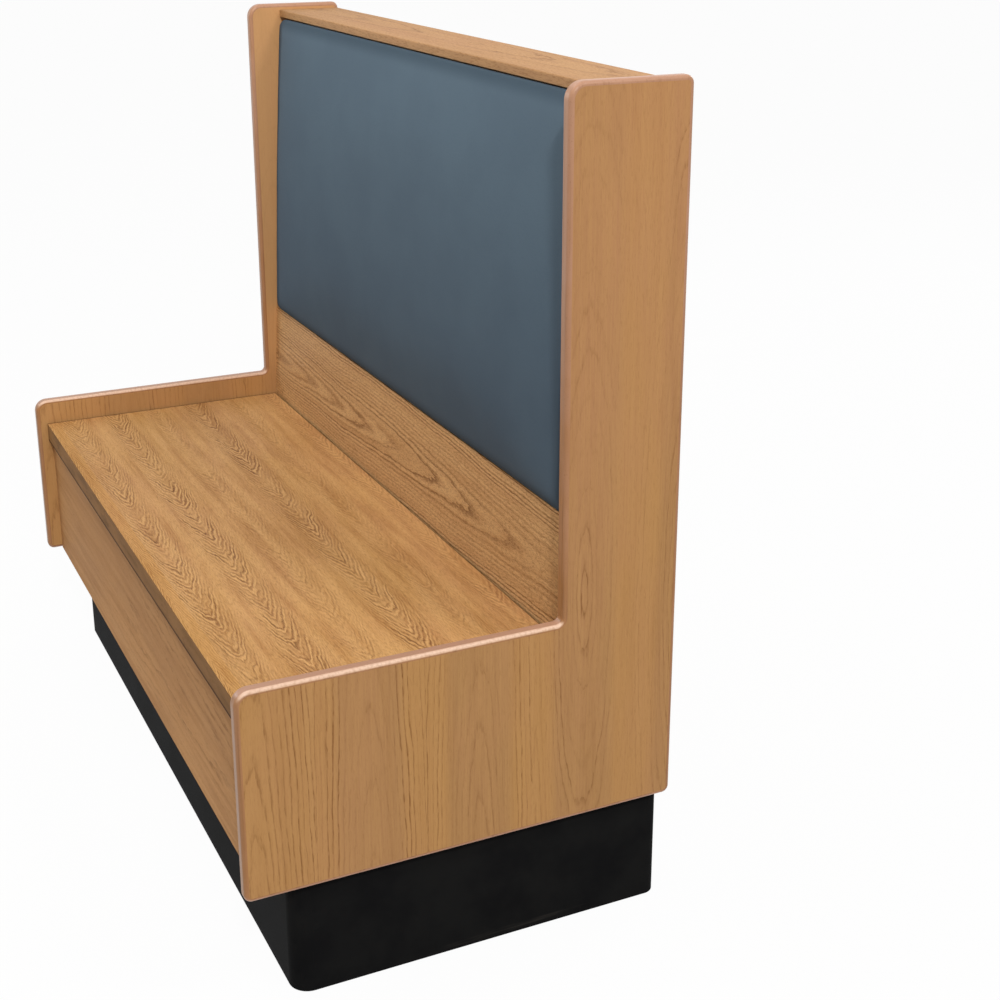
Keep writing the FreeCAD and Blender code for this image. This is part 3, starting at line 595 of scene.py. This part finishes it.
rear = cover.vertex_groups.new(name="rear")
rear.add([v.index for v in cover.data.vertices if offBoard(v.co) < padLook["held"]], 1.0, "REPLACE")
before = [v.co.copy() for v in cover.data.vertices]
cloth = cover.modifiers.new("cloth", "CLOTH")
cloth.settings.use_pressure = True
cloth.settings.uniform_pressure_force = padLook["pressure"]
cloth.settings.effector_weights.gravity = 0
cloth.settings.vertex_group_mass = "rear"
for step in range(1, padLook["steps"] + 1):
    scene.frame_set(step)
bpy.ops.object.modifier_apply(modifier="cloth")
scene.frame_set(1)
furthest = max((v.co - old).length for v, old in zip(cover.data.vertices, before))
for vertex, old in zip(cover.data.vertices, before):
    vertex.co = old + (vertex.co - old) * min(1, padLook["swell"] / furthest)
print("cover swells by", round(furthest, 4), "kept to", padLook["swell"])
cover.vertex_groups.clear()
widest = max(v.co.x for v in cover.data.vertices)
lowest = min(v.co.z for v in cover.data.vertices)
highest = max(v.co.z for v in cover.data.vertices)
for vertex in cover.data.vertices:  # back to the full width and height of the opening
    place = vertex.co
    place.x = max(-1, min(1, place.x / widest)) * padLook["halfWidth"]
    place.z = padLook["low"] + (place.z - lowest) / (highest - lowest) * (padLook["high"] - padLook["low"])
finer = cover.modifiers.new("finer", "SUBSURF")
finer.levels = finer.render_levels = 1
bpy.ops.object.modifier_apply(modifier="finer")
bpy.ops.object.shade_smooth()
cover.data.materials.clear()
cover.data.materials.append(materials["back_vinyl"])
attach(cover, "carcass")
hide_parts("back_cushion")
print("cover ready:", len(cover.data.polygons), "faces")


# floor, world and lamps
stageLook = {
    "floorSize": 60,
    "floorTone": tone(226, 226, 226),
    "floorGlow": 0.965,  # share of plain white that the camera sees in the floor, over its shadowed surface
    "worldStrength": 0.2,
    "lamps": [  # name, spot, aim, size, power, colour
        ("keyLamp", (6.1, -1.7, 5.6), (0, 0, 0.5), 0.6, 325, (1.0, 0.985, 0.96)),
        ("topLamp", (0.1, -0.5, 2.35), (0, 0.1, 0.5), 1.0, 15.5, (1.0, 0.99, 0.975)),
        ("backLamp", (-1.6, 4.2, 2.6), (0, 0, 0.6), 1.2, 45, (1.0, 0.99, 0.98)),
        ("rimLamp", (2.5, 1.3, 3.6), (0.6, 0, 0.5), 0.9, 44, (1.0, 0.98, 0.96)),
        ("leftLamp", (-3.2, -2.8, 2.0), (0, 0, 0.7), 1.2, 36, (0.97, 0.985, 1.0)),
    ],
}
bpy.ops.mesh.primitive_plane_add(size=stageLook["floorSize"])
floor = bpy.context.object
floor.name = "studioFloor"
floorMaterial, floorSurface, floorPlace = startMaterial("studioFloor", Roughness=0.9)
floorSurface.inputs["Base Color"].default_value = stageLook["floorTone"]
shaded = Wire(floorPlace.tree, floorSurface.outputs[0])
glow = floorPlace.node("Emission", {}, {"Color": (1, 1, 1, 1), "Strength": 1.0})
share = floorPlace.whiteTo() * stageLook["floorGlow"]
mixed = floorPlace.node("MixShader", {}, {0: share, 1: shaded, 2: glow})
feed(floorMaterial.node_tree.nodes["Material Output"], "Surface", mixed)
floor.data.materials.append(floorMaterial)

world = bpy.data.worlds.new("studioWorld")
world.use_nodes = True
scene.world = world
sky = world.node_tree.nodes["Background"]
sky.inputs["Color"].default_value = (1, 1, 1, 1)
shown = Wire(world.node_tree, sky.outputs[0]).whiteTo()
feed(sky, "Strength", shown * (1 - stageLook["worldStrength"]) + stageLook["worldStrength"])

for name, spot, aim, size, power, colour in stageLook["lamps"]:
    bpy.ops.object.light_add(type="AREA", location=spot)
    lamp = bpy.context.object
    lamp.name = name
    lamp.rotation_euler = (Vector(aim) - Vector(spot)).to_track_quat("-Z", "Y").to_euler()
    lamp.data.size = size
    lamp.data.energy = power
    lamp.data.color = colour
print("studio set")
